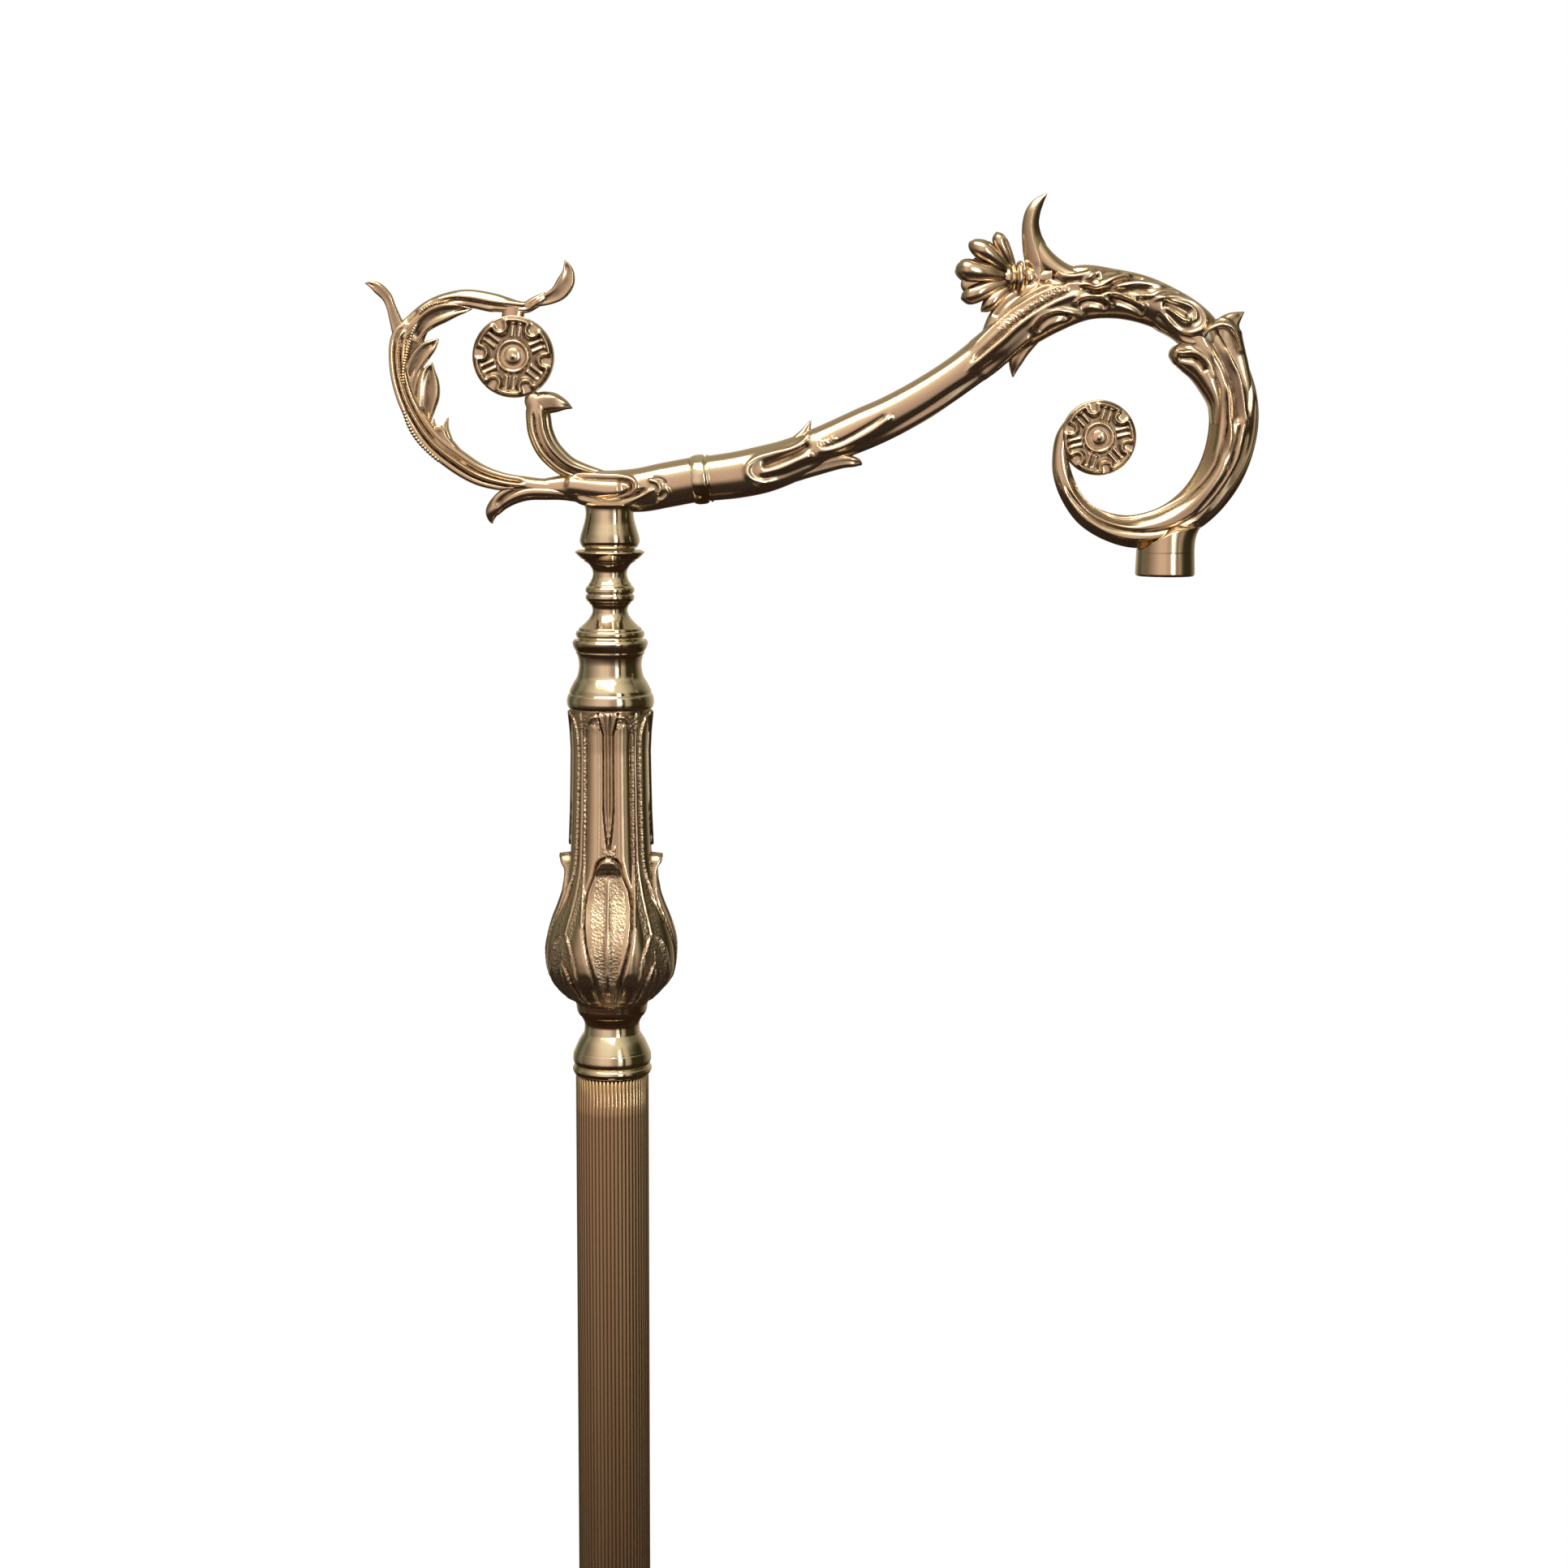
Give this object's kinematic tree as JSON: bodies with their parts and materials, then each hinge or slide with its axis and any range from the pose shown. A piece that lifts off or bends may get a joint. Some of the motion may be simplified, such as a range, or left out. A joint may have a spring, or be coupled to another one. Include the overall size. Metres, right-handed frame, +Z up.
{
  "type": "bridge floor lamp stand",
  "caption": "Floor lamp stand with a weighted round base, a reeded tube, a cast leaf column and a swivelling scrolled bridge arm that ends in a downward nozzle.",
  "frame": {"origin": "on the floor, on the axis of the column", "axes": "+Z up along the column, +X along the arm towards the nozzle at rest, -Y towards the side that the picture shows"},
  "size_m": [0.3942, 0.2716, 1.5099],
  "materials": {
    "polished_brass": "turned and polished, lacquered",
    "cast_brass": "cast, polished on the high parts, stippled ground",
    "reeded_brass": "drawn reeded tube, aged",
    "zinc_steel": "zinc plated",
    "cast_iron": "as cast, black",
    "felt": "pressed wool felt",
    "black_plastic": "moulded",
    "white_nylon": "stamped nylon sheet"
  },
  "bodies": {
    "stand": {"felt_pad": "felt", "base_weight": "cast_iron", "base_cover": "polished_brass", "base_washer": "zinc_steel", "base_nut": "zinc_steel", "cord_bushing": "black_plastic", "base_leaf_collar": "cast_brass", "foot_socket": "polished_brass", "foot_ferrule": "polished_brass", "lower_centring_disc": "zinc_steel", "reeded_tube": "reeded_brass", "upper_centring_disc": "zinc_steel", "top_ferrule": "polished_brass", "tube_coupler": "polished_brass", "leaf_baluster": "cast_brass", "baluster_cap": "polished_brass", "lower_spool": "polished_brass", "upper_spool": "polished_brass", "column_nut": "zinc_steel", "centre_rod": "zinc_steel", "swivel_washer": "white_nylon"},
    "arm": {"hub_boss": "polished_brass", "hub_casting": "cast_brass", "rear_scroll": "cast_brass", "scroll_stud": "zinc_steel", "rear_rosette": "cast_brass", "joint_ring": "polished_brass", "joint_nipple": "zinc_steel", "arm_casting": "cast_brass", "front_rosette": "cast_brass", "shell_ornament": "cast_brass", "shell_tie": "polished_brass", "shell_stud": "zinc_steel", "nozzle": "polished_brass"}
  },
  "joints": [
    {"name": "arm_swivel", "type": "hinge", "parent": "stand", "child": "arm", "pos_m": [0, 0, 1.3694], "axis": [0, 0, 1], "range_deg": [-170, 170]}
  ]
}
